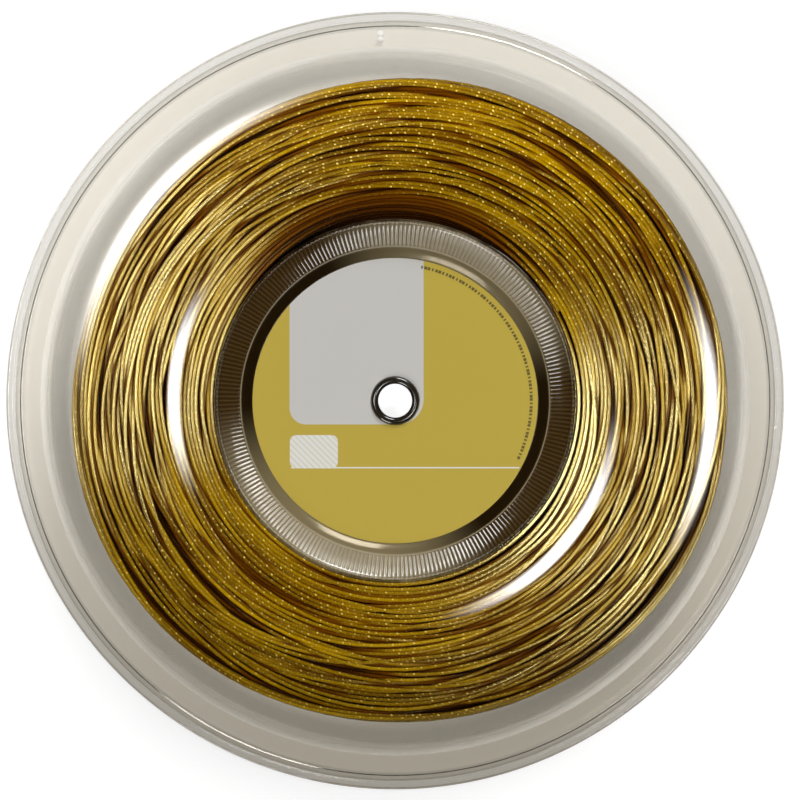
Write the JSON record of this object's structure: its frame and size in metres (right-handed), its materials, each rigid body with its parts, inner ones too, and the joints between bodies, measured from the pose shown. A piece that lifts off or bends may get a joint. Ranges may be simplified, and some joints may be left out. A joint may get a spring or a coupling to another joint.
{
  "type": "string reel",
  "caption": "Clear round reel with a fluted hub and a centre bore, wound full of rough gold racket string.",
  "frame": {"origin": "centre of the bounding box's bottom: on the reel's axis, in the plane that the rear rim stands on", "axes": "+Z along the reel's axis, out of the labelled side; +Y points to the label's top"},
  "size_m": [0.26, 0.26, 0.0278],
  "materials": {
    "clear_flange": "clear moulded styrene, polished",
    "clear_hub": "clear moulded styrene with fine flutes",
    "bush": "dark, polished",
    "label": "printed film, satin",
    "string": "rough-textured monofilament, glossy"
  },
  "bodies": {
    "root": {"front_flange": "clear_flange", "rear_flange": "clear_flange", "front_hub_half": "clear_hub", "rear_hub_half": "clear_hub", "spindle_bush": "bush", "front_label": "label", "string_inner_layers": "string", "string_outer_turns": "string"}
  },
  "joints": []
}
